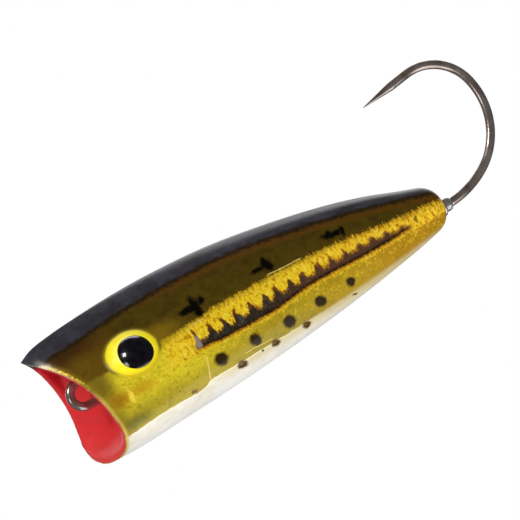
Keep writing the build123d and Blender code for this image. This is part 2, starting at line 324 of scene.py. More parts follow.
def add_film(side, seed, finish):
    """Printed film on one half, with its cut edge round the mouth and at the tail."""
    points = film_grid(np.linspace(0, 1, 150))
    normals = film_normals(points)
    steps = np.linalg.norm(np.diff(points[0], axis=0), axis=1)
    length = np.concatenate([[0], np.cumsum(steps)])
    ragged = 0.05 * roughness_of(length, 0.5, seed) + 0.05 * roughness_of(length, 0.22, seed + 1)
    ragged = np.where(length < 2.5, np.abs(ragged), ragged)
    for row, share in enumerate((1.0, 0.5, 0.2)):
        points[row, :, 0] += ragged * share
    rim = points[0]
    edge = np.stack([rim, rim - normals[0] * FILM])
    edge_normals = np.broadcast_to(np.array([-1.0, 0.0, 0.0]), edge.shape)
    rows, columns = points.shape[:2]
    faces = grid_faces(rows, columns)
    edge_faces = grid_faces(2, columns, rows * columns)[:, ::-1]
    faces = np.concatenate([faces, edge_faces])
    everything = np.concatenate([points.reshape(-1, 3), edge.reshape(-1, 3)])
    every_normal = np.concatenate([normals.reshape(-1, 3), edge_normals.reshape(-1, 3)])
    if side == "right":
        everything, every_normal = mirrored(everything), mirrored(every_normal)
        faces = faces[:, ::-1]
    film = add_mesh(side + "_film", everything, faces, finish, every_normal)
    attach(film, "lure")
    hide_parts(side + "_skin")


def add_cup(finish):
    """Red mouth: a painted lip, a soft inner edge, and the dish behind it."""
    half = np.linspace(0, 1, 110)
    place = np.concatenate([half, half[-2:0:-1]])
    right = np.concatenate([np.zeros(len(half)), np.ones(len(half) - 2)]).astype(bool)
    rows = []
    for share in np.linspace(0, 1, 6):
        inset = LIP_INSET + (SHELL_INSET - LIP_INSET) * share
        rows.append(body_points(rim_x(place, inset) - PAINT, place, inset))
    end = FACE_X + CUP_DEPTH
    for share in np.linspace(0, 0.93, 60)[1:] ** 1.3:
        ease = min(1.0, share / 0.3)
        inset = SHELL_INSET + (CUP_INSET - SHELL_INSET) * ease * (2 - ease)
        start = rim_x(place, inset) - PAINT
        rows.append(dish_points(start + (end - start) * share**1.4, place, inset))
    points = np.stack(rows)
    points[:, right] = mirrored(points[:, right])
    rows, columns = points.shape[:2]
    faces = list(grid_faces(rows, columns, wrap=True)[:, ::-1])
    faces += ring_cap((rows - 1) * columns, columns)
    cup = add_mesh("mouth_dish", points, faces, finish)
    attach(cup, "lure")
    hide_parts("mouth_cup")


def dish_points(x, place, inset):
    """The body's section set in, and closing behind the mouth's plane as a dish does."""
    f = np.clip((x - FACE_X) / CUP_DEPTH, 0, 0.9995)
    return body_points(x, place, inset, (1 - f ** CUP_POWERS[0]) ** (1 / CUP_POWERS[1]))


# ---------------------------------------------------------------- eyes
def flank_frame():
    """Origin, aft direction, up direction and outward normal on the left flank at the eye."""
    step = 0.8
    along = half_breadth(EYE_X + step, EYE_Z) - half_breadth(EYE_X - step, EYE_Z)
    upward = half_breadth(EYE_X, EYE_Z + step) - half_breadth(EYE_X, EYE_Z - step)
    aft = np.array([2 * step, -along, 0.0])
    up = np.array([0.0, -upward, 2 * step])
    normal = np.cross(aft, up)
    normal *= -np.sign(normal[1]) / np.linalg.norm(normal)
    aft /= np.linalg.norm(aft)
    origin = np.array([EYE_X, -half_breadth(EYE_X, EYE_Z), EYE_Z])
    return origin, aft, np.cross(normal, aft), normal


def flank_height(a, b, frame):
    """Height of the flank above the eye's plane at (a, b) in that plane."""
    origin, aft, up, normal = frame
    height = np.zeros_like(a)
    for _ in range(30):
        place = origin + a[..., None] * aft + b[..., None] * up + height[..., None] * normal
        gap = half_breadth(place[..., 0], place[..., 2]) + place[..., 1]
        height = height + 0.7 * gap / abs(normal[1])
    return height


def add_eye(side, finish):
    """Yellow dome whose foot runs out softly on the flank."""
    frame = flank_frame()
    origin, aft, up, normal = frame
    radius = np.linspace(0.02, EYE_RADIUS + EYE_SKIRT, 60)[:, None]
    around = np.linspace(0, 2 * math.pi, 97)[None, :-1]
    a, b = radius * np.cos(around), EYE_OVAL * radius * np.sin(around)
    dome = np.sqrt(DOME_RADIUS**2 - radius**2) + EYE_HEIGHT - DOME_RADIUS
    flank = flank_height(a, b, frame) - 0.03
    soft = 0.12
    height = soft * np.logaddexp(dome / soft, flank / soft)
    sink = np.clip((radius - EYE_RADIUS - 0.35) / 0.4, 0, 1)
    height = height - 0.16 * sink
    points = origin + a[..., None] * aft + b[..., None] * up + height[..., None] * normal
    rows, columns = points.shape[:2]
    faces = list(grid_faces(rows, columns, wrap=True)) + ring_cap(0, columns)
    place_pair(side, side + "_eye_dome", side + "_eye", points, faces, finish)


def add_pupil(side, finish):
    """Glossy black lens on the dome, with a rounded foot."""
    origin, aft, up, normal = flank_frame()
    centre = origin + normal * (EYE_HEIGHT - DOME_RADIUS)
    out = PUPIL_BACK * aft - PUPIL_DOWN * up + DOME_RADIUS * normal
    out /= np.linalg.norm(out)
    aft = aft - out * (aft @ out)
    aft /= np.linalg.norm(aft)
    up = np.cross(out, aft)
    base = math.sqrt(DOME_RADIUS**2 - PUPIL_RADIUS**2)
    rise = DOME_RADIUS + PUPIL_HEIGHT - base
    radius = np.linspace(0.02, 1, 40)[:, None] * PUPIL_RADIUS
    bulge = (PUPIL_RADIUS**2 + rise**2) / (2 * rise)
    lens = base + rise - bulge + np.sqrt(bulge**2 - radius**2) - PUPIL_SET
    around = np.linspace(0, 2 * math.pi, 97)[None, :-1]
    a, b = radius * np.cos(around), radius * np.sin(around)
    points = centre + a[..., None] * aft + b[..., None] * up + lens[..., None] * out
    foot = centre + (points[-1:] - centre) * 0.97
    points = np.concatenate([points, foot])
    rows, columns = points.shape[:2]
    faces = list(grid_faces(rows, columns, wrap=True)) + ring_cap(0, columns)
    place_pair(side, side + "_pupil_lens", side + "_pupil", points, faces, finish)


def place_pair(side, name, node, points, faces, finish):
    """Adds a left-hand piece, or its mirror image on the right."""
    faces = [list(face) for face in faces]
    faces[-1] = faces[-1][::-1]
    if side == "right":
        points = mirrored(points)
        faces = [face[::-1] for face in faces]
    piece = add_mesh(name, points, faces, finish)
    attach(piece, "lure")
    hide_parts(node)


# ---------------------------------------------------------------- hook and fittings
def hook_path():
    """Middle line of the wire in side view as (x, z, heading), and its radius at each point."""
    line = []
    ring = np.radians(np.linspace(-RING_CLOSE, 270, 120))
    for angle in ring:
        line.append((RING_RADIUS * math.cos(angle), RING_RADIUS * math.sin(angle), angle + math.pi / 2))
    for step in np.linspace(0, SHANK_END, 60)[1:]:
        line.append((step, SHANK_Z, 0.0))
    x, z, heading = SHANK_END, SHANK_Z, 0.0
    for radius, turn in BEND:
        for part in np.linspace(0, math.radians(turn), max(8, int(turn)))[1:]:
            line.append(
                (
                    x + radius * (math.sin(heading + part) - math.sin(heading)),
                    z + radius * (math.cos(heading) - math.cos(heading + part)),
                    heading + part,
                )
            )
        x, z, heading = line[-1]
    radii = [WIRE / 2] * len(line)
    straight = POINT_LEG + POINT_TAPER
    for step in np.linspace(0, straight, 40)[1:]:
        taper = max(0.0, (step - POINT_LEG) / POINT_TAPER)
        line.append((x + step * math.cos(heading), z + step * math.sin(heading), heading))
        radii.append(WIRE / 2 + (POINT_RADIUS - WIRE / 2) * taper)
    return line, radii


def add_hook(finish):
    """One wire from the closed line-tie ring through the body to the needle point."""
    line, radii = hook_path()
    around = np.linspace(0, 2 * math.pi, 33)[:-1]
    rows = []
    for (x, z, heading), radius in zip(line, radii):
        side = radius * np.cos(around)
        out = radius * np.sin(around)
        rows.append(np.stack([x - side * math.sin(heading), out, z + side * math.cos(heading)], axis=-1))
    points = np.stack(rows)
    rows, columns = points.shape[:2]
    faces = list(grid_faces(rows, columns, wrap=True))
    faces += [face[::-1] for face in ring_cap(0, columns)]
    faces += ring_cap((rows - 1) * columns, columns)
    hook = add_mesh("hook_wire", points, faces, finish)
    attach(hook, "lure")
    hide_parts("hook")


def add_turned(name, node, profile, finish):
    """A turned piece round the shank from its (x, radius) profile, closed on itself."""
    around = np.linspace(0, 2 * math.pi, 65)[:-1]
    rows = []
    for x, radius in profile:
        rows.append(
            np.stack(
                [np.full(len(around), x), radius * np.cos(around), SHANK_Z + radius * np.sin(around)],
                axis=-1,
            )
        )
    points = np.stack(rows + rows[:1])
    rows, columns = points.shape[:2]
    piece = add_mesh(name, points, grid_faces(rows, columns, wrap=True)[:, ::-1], finish)
    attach(piece, "lure")
    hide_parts(node)


def washer_profile():
    """Thin washer with eased edges."""
    start, end, inner, outer, ease = WASHER_X, WASHER_X + WASHER_THICK, 0.62, 1.25, 0.07
    return [
        (start, inner),
        (start, outer - ease),
        (start + ease, outer),
        (end - ease, outer),
        (end - 0.02, outer - 0.03),
        (end, outer - ease),
        (end, inner),
    ]


def collar_profile():
    """Crimped collar: a rounded barrel with three pressed rings, narrow at its far end."""
    start = TAIL_X
    profile = [(start, 0.61)]
    for t in np.linspace(0, 1, 60):
        barrel = 0.95 * (1 - abs(2 * t - 0.86) ** 3.2 * 0.42)
        groove = 0.035 * (0.5 - 0.5 * math.cos(2 * math.pi * 4 * t)) ** 2
        profile.append((start + COLLAR_LENGTH * t, max(0.62, barrel - groove)))
    profile.append((start + COLLAR_LENGTH, 0.61))
    return profile


# ---------------------------------------------------------------- materials
class Field:
    """A number that varies over a surface: one output of a shader node, with arithmetic."""

    def __init__(self, socket):
        self.socket = socket
        self.tree = socket.id_data

    def math(self, operation, *values):
        node = self.tree.nodes.new("ShaderNodeMath")
        node.operation = operation
        for port, value in zip(node.inputs, values):
            feed(port, value)
        return Field(node.outputs[0])

    def __add__(self, other):
        return self.math("ADD", self, other)

    __radd__ = __add__

    def __sub__(self, other):
        return self.math("SUBTRACT", self, other)

    def __rsub__(self, other):
        return self.math("SUBTRACT", other, self)

    def __mul__(self, other):
        return self.math("MULTIPLY", self, other)

    __rmul__ = __mul__

    def __truediv__(self, other):
        return self.math("DIVIDE", self, other)

    def __pow__(self, other):
        return self.math("POWER", self, other)

    def absolute(self):
        return self.math("ABSOLUTE", self)

    def cosine(self):
        return self.math("COSINE", self)

    def larger(self, other):
        return self.math("MAXIMUM", self, other)

    def ramp(self, low, high):
        """0 at low and 1 at high, smooth between and level beyond; low may be above high."""
        node = self.tree.nodes.new("ShaderNodeMapRange")
        node.interpolation_type = "SMOOTHSTEP"
        for name, value in (("Value", self), ("From Min", low), ("From Max", high)):
            feed(node.inputs[name], value)
        return Field(node.outputs[0])

    def through(self, points):
        """A smooth function of this field through (place, value) points."""
        places, values = zip(*points)
        span, low, high = places[-1] - places[0], min(values), max(values)
        node = self.tree.nodes.new("ShaderNodeFloatCurve")
        line = node.mapping.curves[0]
        scaled = [((p - places[0]) / span, (v - low) / (high - low)) for p, v in points]
        line.points[0].location, line.points[1].location = scaled[0], scaled[-1]
        for place in scaled[1:-1]:
            line.points.new(*place)
        node.mapping.update()
        feed(node.inputs["Value"], (self - places[0]) / span)
        return Field(node.outputs[0]) * (high - low) + low


def feed(port, value):
    """Links a field to an input, or sets the input to a plain value."""
    if isinstance(value, Field):
        value.tree.links.new(value.socket, port)
    else:
        port.default_value = value


def rgb(red, green, blue):
    """Linear colour from 8-bit display values."""
    linear = []
    for value in (red, green, blue):
        share = value / 255
        linear.append(share / 12.92 if share <= 0.04045 else ((share + 0.055) / 1.055) ** 2.4)
    return (*linear, 1.0)


class Finish:
    """A material: its shader, the place on the surface in mm, and helpers to vary them."""

    def __init__(self, name, **levels):
        self.material = bpy.data.materials.new(name)
        self.material.use_nodes = True
        self.tree = self.material.node_tree
        self.shader = self.tree.nodes["Principled BSDF"]
        for key, value in levels.items():
            self.shader.inputs[key.replace("_", " ").title().replace("Ior", "IOR")].default_value = value
        where = self.tree.nodes.new("ShaderNodeTexCoord")
        scaled = self.tree.nodes.new("ShaderNodeVectorMath")
        scaled.operation = "SCALE"
        scaled.inputs["Scale"].default_value = 1 / MM
        self.tree.links.new(where.outputs["Object"], scaled.inputs[0])
        self.place = Field(scaled.outputs[0])
        parts = self.tree.nodes.new("ShaderNodeSeparateXYZ")
        feed(parts.inputs[0], self.place)
        self.x, self.y, self.z = (Field(out) for out in parts.outputs)

    def noise(self, scale, detail=2.0, shift=0.0, stretch=(1.0, 1.0, 1.0)):
        """Noise with about scale grains per mm, centred on 0 and mostly from -1 to 1."""
        moved = self.tree.nodes.new("ShaderNodeMapping")
        feed(moved.inputs["Vector"], self.place)
        moved.inputs["Location"].default_value = (shift, shift * 1.7, shift * 2.3)
        moved.inputs["Scale"].default_value = stretch
        node = self.tree.nodes.new("ShaderNodeTexNoise")
        node.inputs["Scale"].default_value = scale
        node.inputs["Detail"].default_value = detail
        feed(node.inputs["Vector"], Field(moved.outputs[0]))
        return (Field(node.outputs[0]) - 0.5) * 4.0

    def mix(self, share, first, second):
        """Colour that goes from first to second as share goes from 0 to 1."""
        node = self.tree.nodes.new("ShaderNodeMix")
        node.data_type = "RGBA"
        feed(node.inputs[0], share)
        feed(node.inputs[6], first)
        feed(node.inputs[7], second)
        return Field(node.outputs[2])

    def paint(self, base, coats):
        """Base colour with each (mask, colour) coat laid over it in turn."""
        for mask, colour in coats:
            base = self.mix(mask, base, colour)
        return base

    def shade(self, colour, field):
        """Colour made lighter or darker by a factor field."""
        node = self.tree.nodes.new("ShaderNodeVectorMath")
        node.operation = "SCALE"
        feed(node.inputs[0], colour)
        feed(node.inputs["Scale"], field)
        return Field(node.outputs[0])

    def set(self, name, value):
        feed(self.shader.inputs[name], value)

    def bump(self, height, depth):
        """Relief whose height field of 1 stands depth mm proud."""
        node = self.tree.nodes.new("ShaderNodeBump")
        node.inputs["Distance"].default_value = depth * MM
        feed(node.inputs["Height"], height)
        self.set("Normal", Field(node.outputs[0]))


def blob(across, up, centre, radii, soft=0.3):
    """1 inside an ellipse and 0 outside, with a soft edge."""
    distance = (((across - centre[0]) / radii[0]) ** 2 + ((up - centre[1]) / radii[1]) ** 2) ** 0.5
    return distance.ramp(1 + soft, 1 - soft)


def stroke(across, up, start, end, width):
    """1 on a straight scratch and 0 beside it, fading at its ends."""
    length = math.dist(start, end)
    cosine, sine = (end[0] - start[0]) / length, (end[1] - start[1]) / length
    along = (across - start[0]) * cosine + (up - start[1]) * sine
    aside = ((up - start[1]) * cosine - (across - start[0]) * sine).absolute()
    return along.ramp(0, 0.5) * along.ramp(length, length - 0.5) * aside.ramp(width, width / 3)


# Heights of the paint's edges along the flank, as (across, up) in mm.
BACK_EDGE = [
    (-8, 5.7), (2, 6.35), (12, 7.1), (20, 7.1), (26, 6.65), (34, 5.35), (42, 3.6), (50, 1.45), (56, -0.3),
]
GOLD_TOP = [(-8, 0.9), (16, 1.0), (20, 1.3), (28, 1.35), (34, 1.15), (42, 0.35), (50, -0.5), (56, -1.0)]
STRIPE_LOW = [
    (-8, -2.2), (16, -2.3), (20, -2.65), (26, -2.7), (34, -2.05), (42, -2.2), (48, -1.95), (56, -1.9),
]
STRIPE_TOP = [
    (-8, -1.9), (18, -1.75), (26, -1.5), (34, -1.2), (40, -1.2), (44, -1.4), (48, -1.8), (56, -1.9),
]
TOOTH_TOP = [(-8, 1.9), (18, 2.0), (24, 1.5), (30, 1.3), (36, 0.9), (42, 0.65), (46, 0.4), (56, 0.05)]
BELLY_EDGE = [
    (-8, -8.4), (2, -7.7), (9, -7.15), (14, -7.05), (15.5, -6.5), (21, -6.35),
    (28, -6.1), (34, -5.9), (42, -5.3), (50, -4.3), (56, -3.4),
]
TOOTH_PITCH = 2.0
TOOTH_PEAK = 18.4  # where one of the teeth stands
# Each spot's place across and up, and its radius or half width and half height.
LARGE_SPOTS = [
    (17.9, -4.8, 0.9),
    (22.95, -4.8, 0.85),
    (27.9, -4.9, 0.85),
    (32.7, -4.6, 0.75),
    (37.3, -4.3, 0.62),
]
SMALL_SPOTS = [
    (19.9, -6.75, 0.7, 0.48),
    (25.0, -6.45, 0.62, 0.4),
    (29.6, -6.35, 0.6, 0.42),
    (37.0, -5.95, 0.35, 0.13),
]
# Each crease's two ends and its width.
CREASES = [
    ((28.2, 1.75), (33.4, 1.5), 0.09),
    ((15.9, 0.65), (18.6, 1.0), 0.08),
    ((20.7, -5.65), (25.2, -5.75), 0.09),
    ((16.5, -3.4), (15.3, -6.7), 0.12),
]
# Each blotch on the upper flank is a few overlapping ellipses: across, up, half width, half height.
BLOTCHES = [
    (17.5, 2.8, 1.35, 0.5),
    (18.15, 2.9, 0.55, 1.35),
    (18.35, 2.0, 0.4, 0.8),
    (19.2, 3.1, 0.45, 0.6),
    (16.7, 2.75, 0.7, 0.35),
    (28.8, 3.1, 0.75, 0.6),
    (28.7, 3.5, 0.35, 0.6),
    (29.1, 2.5, 0.5, 0.5),
    (27.4, 2.95, 0.9, 0.3),
    (37.6, 2.45, 0.8, 0.42),
    (38.6, 2.15, 0.8, 0.38),
    (39.55, 2.0, 0.28, 0.65),
]


class FilmPlace:
    """Where a point lies on the film, and the noises that vary the paint there."""

    def __init__(self, film):
        self.x, self.y, self.up = film.x, film.y, film.z
        self.across = film.x * math.cos(PAINT_YAW) + film.y.absolute() * math.sin(PAINT_YAW)
        self.broad = film.noise(0.35, 2)
        self.cloud = film.noise(0.9, 3, 5)
        self.grain = film.noise(3.2, 3, 9)
        self.fleck = film.noise(7.0, 2, 3)
        self.patch = film.noise(1.9, 3, 61, (1.5, 1.0, 0.8))
        self.spikes = film.noise(2.6, 2, 71, (1.6, 1.0, 0.25))
        # the same place, shifted about so that edges wander
        self.s = self.across + film.noise(1.1, 3, 21) * 0.22
        self.z = film.z + film.noise(1.3, 3, 31) * 0.2
        self.rough_z = film.z + film.noise(3.5, 2, 41) * 0.3
        self.spot_s = self.across + self.grain * 0.08 + self.cloud * 0.12
        self.spot_z = film.z + self.fleck * 0.06 + film.noise(1.6, 2, 51) * 0.12
        self.depth = self.across.through(BACK_EDGE) - self.z
        self.gold_top = self.across.through(GOLD_TOP)
        self.stripe_low = self.across.through(STRIPE_LOW)
        turn = (self.s + self.broad * 0.3 - TOOTH_PEAK) * (2 * math.pi / TOOTH_PITCH)
        self.tooth = turn.cosine() * 0.5 + 0.5


def upper_flank(film, at):
    """Olive, browner at the head and under the black back."""
    depth, head = at.depth, at.across.ramp(9, 2)
    fringe = depth.ramp(1.6, 0.7) * depth.ramp(0.1, 0.6) * at.across.ramp(8, 18)
    coats = [
        ((at.cloud + depth * 0.2).ramp(-0.6, 1.4) * 0.55, rgb(82, 64, 1)),
        ((at.grain + at.cloud).ramp(-0.1, -1.3) * 0.5, rgb(52, 38, 2)),
        (depth.ramp(3.4, 0.8) * head, rgb(60, 36, 2)),
        (fringe * 0.8, rgb(88, 54, 3)),
        ((depth + at.grain * 0.2).ramp(0.8, 0.1), rgb(40, 25, 4)),
        (depth.ramp(2.4, 4.6) * at.across.ramp(30, 44) * 0.6, rgb(116, 76, 4)),
    ]
    return film.paint(film.mix(head, rgb(64, 50, 1), rgb(104, 74, 1)), coats)


def lower_flank(film, at):
    """Yellow-green, golden behind, with rusty blotches and a bright fleck on the cheek."""
    across, s, z = at.across, at.s, at.z
    mottle = at.grain + at.cloud * 0.6
    coats = [
        (z.ramp(-3.2, -6.2) * 0.75, rgb(142, 126, 34)),
        (across.ramp(27, 36) * 0.7, rgb(168, 134, 12)),
        (across.ramp(38, 46) * 0.8, rgb(166, 120, 4)),
        (mottle.ramp(0.1, 1.1) * z.ramp(-5.8, -2.6) * 0.7, rgb(232, 204, 50)),
        (mottle.ramp(-0.1, -1.1) * 0.5, rgb(112, 92, 8)),
        (across.ramp(5.5, 2.5) * z.ramp(-3.5, -1.0), rgb(98, 78, 5)),
        (across.ramp(5.0, 3.0) * 0.55, rgb(128, 108, 20)),
        (blob(s, z, (3.9, -3.1), (1.5, 0.9), 0.7) * 0.8, rgb(152, 100, 4)),
        (blob(s, z, (7.1, -3.0), (1.7, 0.7), 0.7) * 0.7, rgb(182, 134, 4)),
        (blob(s, at.rough_z, (5.5, -3.3), (0.3, 0.85), 0.6), rgb(236, 206, 62)),
        (blob(s, z, (4.4, -6.5), (2.3, 0.7), 0.6) * 0.8, rgb(106, 102, 36)),
    ]
    return film.paint(film.mix(across.ramp(13, 26), rgb(208, 188, 32), rgb(166, 142, 22)), coats)


def gold_band(film, at):
    """Mask and colour of the mottled gold band, whose upper edge is feathered; its bright yellow is
    partly the printed gold and partly painted reflection of the lamps on the foil.
    """
    edge = at.gold_top + at.spikes * 0.4 + at.tooth * 0.12
    inside = (at.rough_z - edge).ramp(0.3, -0.3) * (at.rough_z - at.stripe_low).ramp(-0.75, -0.1)
    coats = [
        # pale flecks: partly the foil's print, partly painted glints
        ((at.patch + at.fleck * 0.4).ramp(0.0, 0.9) * 0.9, rgb(255, 232, 82)),
        ((at.patch + at.grain * 0.4).ramp(-0.05, -0.9) * 0.85, rgb(172, 104, 6)),
        ((at.rough_z - edge).ramp(-0.8, 0.1) * 0.6, rgb(164, 108, 6)),
    ]
    gold = film.mix(at.across.ramp(26, 46), rgb(242, 202, 28), rgb(255, 206, 40))
    return inside * at.s.ramp(10.8, 13.2), film.paint(gold, coats)


def toothed_stripe(film, at, flank):
    """The flank with the dark stripe laid on it, its rusty halo and its teeth."""
    foot = at.across.through(STRIPE_TOP)
    reach = (at.tooth**2.2 * (at.cloud * 0.3 + 0.95) + at.spikes * 0.22) * at.across.through(TOOTH_TOP)
    top, low = foot + reach, at.stripe_low
    z = at.up + at.grain * 0.17 + at.fleck * 0.12
    inside = (z - top).ramp(0.4, -0.3) * (z - low).ramp(-0.18, 0.16)
    inside = inside * at.s.ramp(15.4, 16.1) * at.s.ramp(47.9, 47.2)
    halo = (z - top).ramp(0.6, 0.0) * (z - low).ramp(-0.5, 0.0)
    halo = halo * at.s.ramp(15.0, 16.5) * at.s.ramp(48.6, 47.0)
    stripe = film.paint(
        film.mix((at.across + at.cloud * 3).ramp(24, 36), rgb(48, 42, 32), rgb(88, 58, 42)),
        [
            (at.cloud.ramp(0.0, 0.8) * at.across.ramp(34, 24) * 0.6, rgb(78, 82, 78)),
            ((at.up - foot).ramp(0.3, 1.3) * 0.8, rgb(112, 60, 12)),
            ((at.up - low).ramp(0.6, 0.15), rgb(38, 22, 10)),
            (blob(at.s, at.z, (16.3, -1.5), (0.5, 0.9), 0.5) * 0.8, rgb(168, 146, 140)),
            ((at.fleck + at.grain).ramp(0.5, 1.4) * 0.7, rgb(142, 96, 34)),
        ],
    )
    last_dot = blob(at.s, at.z, (48.7, -1.35), (0.22, 0.5), 0.5)
    coats = [(halo * 0.8, rgb(158, 88, 6)), (inside, stripe), (last_dot * 0.8, rgb(92, 48, 12))]
    return film.paint(flank, coats)


def pearl_belly(film, at):
    """Mask and colour of the belly: its edge is crisp in front and soft behind, with a painted highlight
    along it; lower down it whitens, partly painted reflection.
    """
    soft = at.across.ramp(24, 40)
    below = at.across.through(BELLY_EDGE) - (at.up + at.cloud * 0.07 + at.grain * 0.03)
    coats = [
        (below.ramp(1.3, 0.1) * at.across.ramp(12, 20), rgb(202, 188, 142)),
        # whiter and cooler lower down: partly the belly's white, partly painted reflection of the pale
        # surroundings
        (below.ramp(0.9, 2.4), rgb(236, 234, 232)),
        # painted highlight: a pale line along the belly's edge
        (below.ramp(0.25, 0.05) * 0.6, rgb(236, 230, 200)),
    ]
    pearl = film.mix(at.cloud.ramp(-1, 1), rgb(214, 206, 188), rgb(224, 220, 210))
    return below.ramp(soft * -0.5 - 0.06, soft * 0.6 + 0.08), film.paint(pearl, coats)


def spot_coats(at):
    """Coats for the spots low on the flank and the blotches high on it."""
    coats = [(blob(at.spot_s, at.spot_z, (a, b), (r, r), 0.3), rgb(44, 31, 4)) for a, b, r in LARGE_SPOTS]
    for a, b, r, h in SMALL_SPOTS:
        core = blob(at.spot_s, at.spot_z, (a - 0.1, b + 0.08), (r * 0.5, h * 0.4), 0.5)
        coats.append((blob(at.spot_s, at.spot_z, (a, b), (r, h), 0.3), rgb(72, 46, 14)))
        coats.append((core * 0.45, rgb(136, 104, 46)))
    for a, b, r, h in BLOTCHES:
        coats.append((blob(at.s, at.z, (a, b), (r, h), 0.5), rgb(9, 6, 1)))
    scuff = blob(at.spot_s, at.rough_z, (12.9, -6.75), (0.5, 0.35), 0.4)
    coats.append((blob(at.spot_s, at.spot_z, (23.0, -6.5), (0.16, 0.13), 0.4), rgb(38, 26, 8)))
    coats.append((scuff * at.grain.ramp(-0.4, 0.4), rgb(92, 64, 20)))
    return coats


def crease_highlight_mask(at):
    """1 on the creases in the film; film_finish paints a pale highlight along them and raises them in the
    bump.
    """
    z = at.up + at.cloud * 0.06
    mask = stroke(at.across, z, *CREASES[0])
    for crease in CREASES[1:]:
        mask = mask.larger(stroke(at.across, z, *crease))
    return mask


def head_coats(film, at):
    """Coats for the worn edge round the mouth, a pale patch under the lip's black edge, and the overspray
    round the eye.
    """
    z = at.up
    edge = at.x - scoop_field(film)
    tarnish = edge.ramp(1.3, 0.3) * z.ramp(-9.5, -6) * z.ramp(6.2, 5.4)
    wedge = edge.ramp(0.65, 0.2) * z.ramp(-0.5, 1.5) * z.ramp(6.0, 5.2)
    # a pale flecked patch just under the lip's black edge
    pale_lip_patch = blob(at.s, at.z, (-2.9, 5.3), (0.9, 0.35), 0.5) * at.fleck.ramp(-0.8, 0.3)
    spray = eye_distance(film).ramp(EYE_RADIUS + 0.7, EYE_RADIUS) * at.z.ramp(-1.2, 0.6)
    return [
        (tarnish * 0.45, rgb(140, 112, 16)),
        (wedge * (at.grain + at.fleck).ramp(-0.6, 0.5), rgb(238, 208, 70)),
        (edge.ramp(0.28, 0.1) * z.ramp(6.0, 5.4) * 0.8, rgb(150, 108, 40)),
        ((edge + at.grain * 0.1).ramp(0.6, 0.3) * z.ramp(0.5, -2.5) * 0.7, rgb(198, 172, 76)),
        (pale_lip_patch, rgb(190, 186, 160)),
        (spray * 0.8, rgb(112, 92, 3)),
        (blob(at.across, at.z, (12.4, 1.9), (2.6, 1.2), 0.8) * 0.6, rgb(136, 108, 4)),
    ]


def film_finish():
    """Printed foil: black back, olive flank, gold band with a toothed stripe, spots, pearl belly; painted
    highlights on the creases and along the belly's edge.
    """
    film = Finish("foil_print", coat_weight=0.35, coat_roughness=0.2, specular_ior_level=0.1)
    at = FilmPlace(film)
    flank = film.mix((at.z - at.gold_top).ramp(-0.3, 0.35), lower_flank(film, at), upper_flank(film, at))
    in_gold, gold = gold_band(film, at)
    flank = toothed_stripe(film, at, film.mix(in_gold, flank, gold))
    in_belly, belly = pearl_belly(film, at)
    flank = film.mix(in_belly, flank, belly)
    back = film.mix((at.cloud * 0.5 + at.broad).ramp(-0.8, 0.8), rgb(40, 38, 43), rgb(54, 52, 60))
    flank = film.mix(at.depth.ramp(0.15, -0.3), flank, back)
    crease = crease_highlight_mask(at)
    # the creases get a painted highlight: a pale gold line along each
    coats = spot_coats(at) + [(crease * 0.75, rgb(232, 206, 120))] + head_coats(film, at)
    uneven = at.grain * 0.06 + at.fleck * 0.05 + at.broad * 0.05 + 1.0
    film.set("Base Color", film.shade(film.paint(flank, coats), uneven))
    printed = in_belly.ramp(1, 0) * at.depth.ramp(-0.3, 0.3)
    film.set("Metallic", printed * (in_gold * 0.15 + 0.2) + in_belly * 0.1)
    film.set("Roughness", at.cloud * 0.04 + at.grain * 0.03 - in_gold * 0.08 + 0.42)
    seam = at.y.absolute().ramp(0.14, 0.03)
    film.bump(at.grain * 0.3 + at.fleck * 0.35 * (in_gold * 1.5 + 0.3) + crease * 2.0 - seam, 0.02)
    return film


def scoop_field(finish):
    """The mouth's face over a surface, as scoop_x gives it."""
    rise = (finish.z - SCOOP_Z).larger(0.0)
    return ((rise * rise) * -1.0 + SCOOP_RADIUS**2) ** 0.5 + (FACE_X - SCOOP_RADIUS)


def eye_distance(finish):
    """Distance from the middle of the nearer eye, in mm."""
    origin = flank_frame()[0]
    gaps = (finish.x - origin[0], finish.y.absolute() + origin[1], (finish.z - origin[2]) / EYE_OVAL)
    return (gaps[0] ** 2 + gaps[1] ** 2 + gaps[2] ** 2) ** 0.5


def cup_finish():
    """Red enamel, brushed on and ragged at the lip's edge, with painted shade darker in the depth and at
    the top under the lip, and a painted highlight paler towards the bottom.
    """
    red = Finish("cup_red", specular_ior_level=0.25, roughness=0.5)
    cloud = red.noise(0.5, 3)
    grain = red.noise(2.5, 3, 4)
    fleck = red.noise(5.0, 2, 7)
    lip = red.x - scoop_field(red)
    colour = red.mix(cloud.ramp(-1, 1), rgb(206, 26, 34), rgb(196, 32, 36))
    colour = red.paint(
        colour,
        [
            # painted highlight: paler, pinker red towards the bottom of the mouth
            (red.z.ramp(-3.0, -8.0) * 0.4, rgb(206, 62, 58)),
            # painted shade: darker red at the top, under the overhanging lip
            (red.z.ramp(1.0, 5.0) * 0.6, rgb(168, 22, 34)),
            # painted shade: darker red deeper in the dish
            (red.x.ramp(1.0, 3.6) * 0.5, rgb(170, 22, 30)),
            ((red.z + grain * 0.3).ramp(5.5, 6.1), rgb(26, 20, 22)),
            (lip.ramp(0.05, -0.02) * (grain + fleck * 0.6).ramp(0.1, 0.7) * 0.55, rgb(112, 20, 20)),
        ],
    )
    red.set("Base Color", red.shade(colour, grain * 0.04 + 1.0))
    red.set("Roughness", cloud * 0.05 + grain * 0.04 + 0.5)
    red.bump(grain * 0.4 + cloud, 0.015)
    return red


